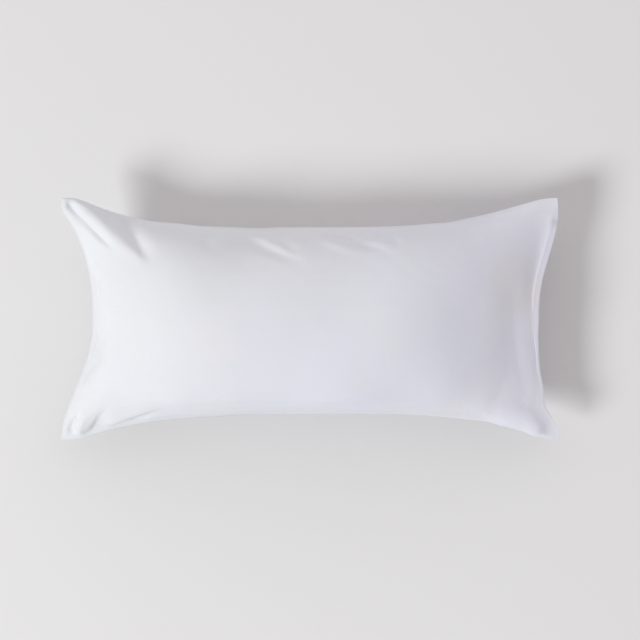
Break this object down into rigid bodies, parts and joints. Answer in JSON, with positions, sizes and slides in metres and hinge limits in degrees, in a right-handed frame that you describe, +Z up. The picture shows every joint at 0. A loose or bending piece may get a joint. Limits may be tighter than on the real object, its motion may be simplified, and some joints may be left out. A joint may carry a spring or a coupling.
{
  "type": "filled pillowcase",
  "caption": "Long plain white pillowcase, filled and lying on its back, with pointed corners, drawn-in sides and a hemmed mouth at one end.",
  "frame": {"origin": "centre of the bounding box on the surface the pillowcase lies on", "axes": "+X along the case from its closed end to its mouth, +Y across it from the near seam to the far seam, +Z up through the crown"},
  "size_m": [0.792, 0.386, 0.1908],
  "materials": {
    "white_cotton": "matt plain-woven cotton"
  },
  "bodies": {
    "root": {"pillowcase": "white_cotton"}
  },
  "joints": []
}
